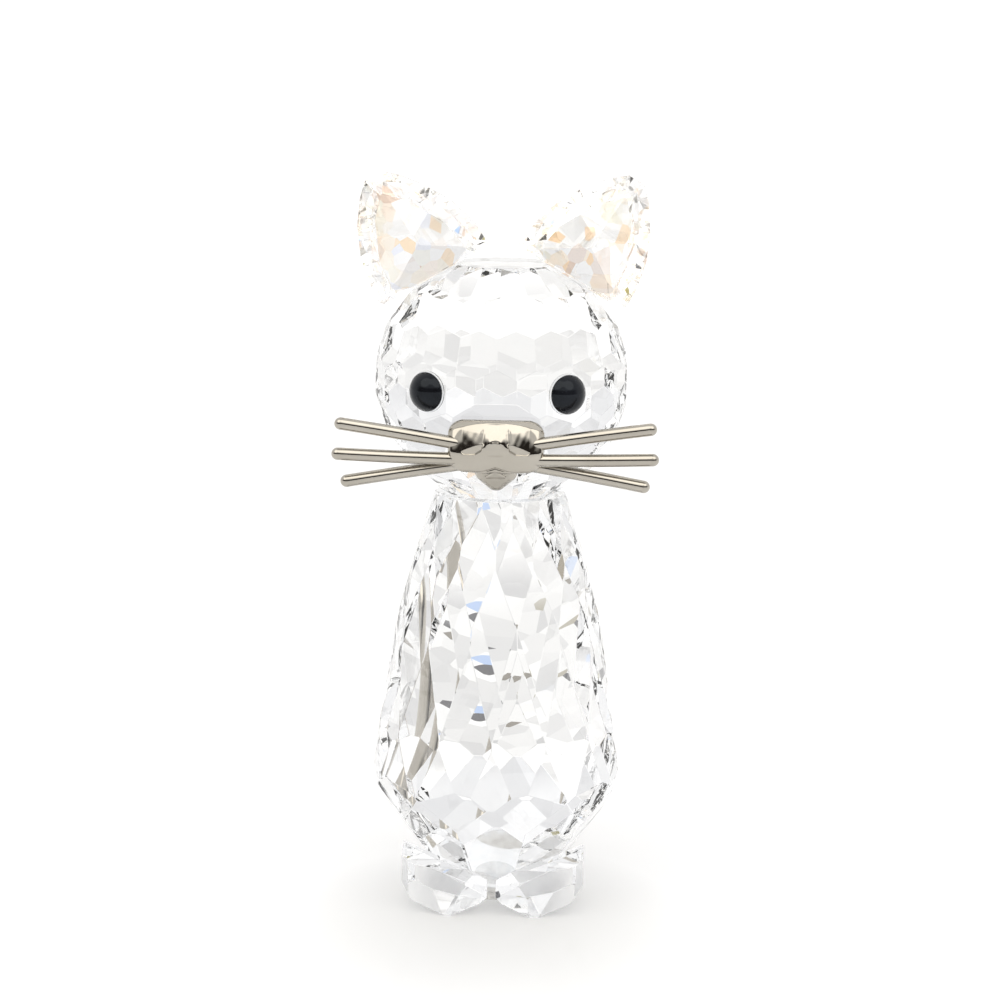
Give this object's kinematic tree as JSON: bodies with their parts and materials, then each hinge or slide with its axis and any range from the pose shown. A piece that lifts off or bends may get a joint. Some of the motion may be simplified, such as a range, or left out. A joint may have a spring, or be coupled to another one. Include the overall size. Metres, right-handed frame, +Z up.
{
  "type": "cat figurine",
  "caption": "Seated cat figurine of faceted clear crystal: tall drop-shaped body, faceted ball head, triangular ears, black cabochon eyes, polished metal muzzle, whiskers and tail.",
  "frame": {"origin": "middle of the body crystal's flat base, on the surface that it stands on", "axes": "+Z up, -Y towards the cat's face, +X towards the right of a viewer who faces the cat"},
  "size_m": [0.0252, 0.0317, 0.0589],
  "materials": {
    "crystal": "clear cut lead crystal, polished facets",
    "ear_crystal": "clear cut crystal with an iridescent peach film on the back facets",
    "eye": "jet black polished cabochon",
    "metal": "polished warm nickel plate",
    "bond": "clear cured adhesive"
  },
  "bodies": {
    "root": {"body_crystal": "crystal", "head_crystal": "crystal", "foot_left": "crystal", "foot_right": "crystal", "ear_crystal_left": "ear_crystal", "ear_crystal_right": "ear_crystal", "eye_left": "eye", "eye_right": "eye", "muzzle": "metal", "whisker_left_upper": "metal", "whisker_left_middle": "metal", "whisker_left_lower": "metal", "whisker_right_upper": "metal", "whisker_right_middle": "metal", "whisker_right_lower": "metal", "tail": "metal", "neck_bond": "bond", "ear_bond_left": "bond", "ear_bond_right": "bond", "eye_bond_left": "bond", "eye_bond_right": "bond", "muzzle_bond": "bond", "foot_bond_left": "bond", "foot_bond_right": "bond", "tail_bond": "bond"}
  },
  "joints": []
}
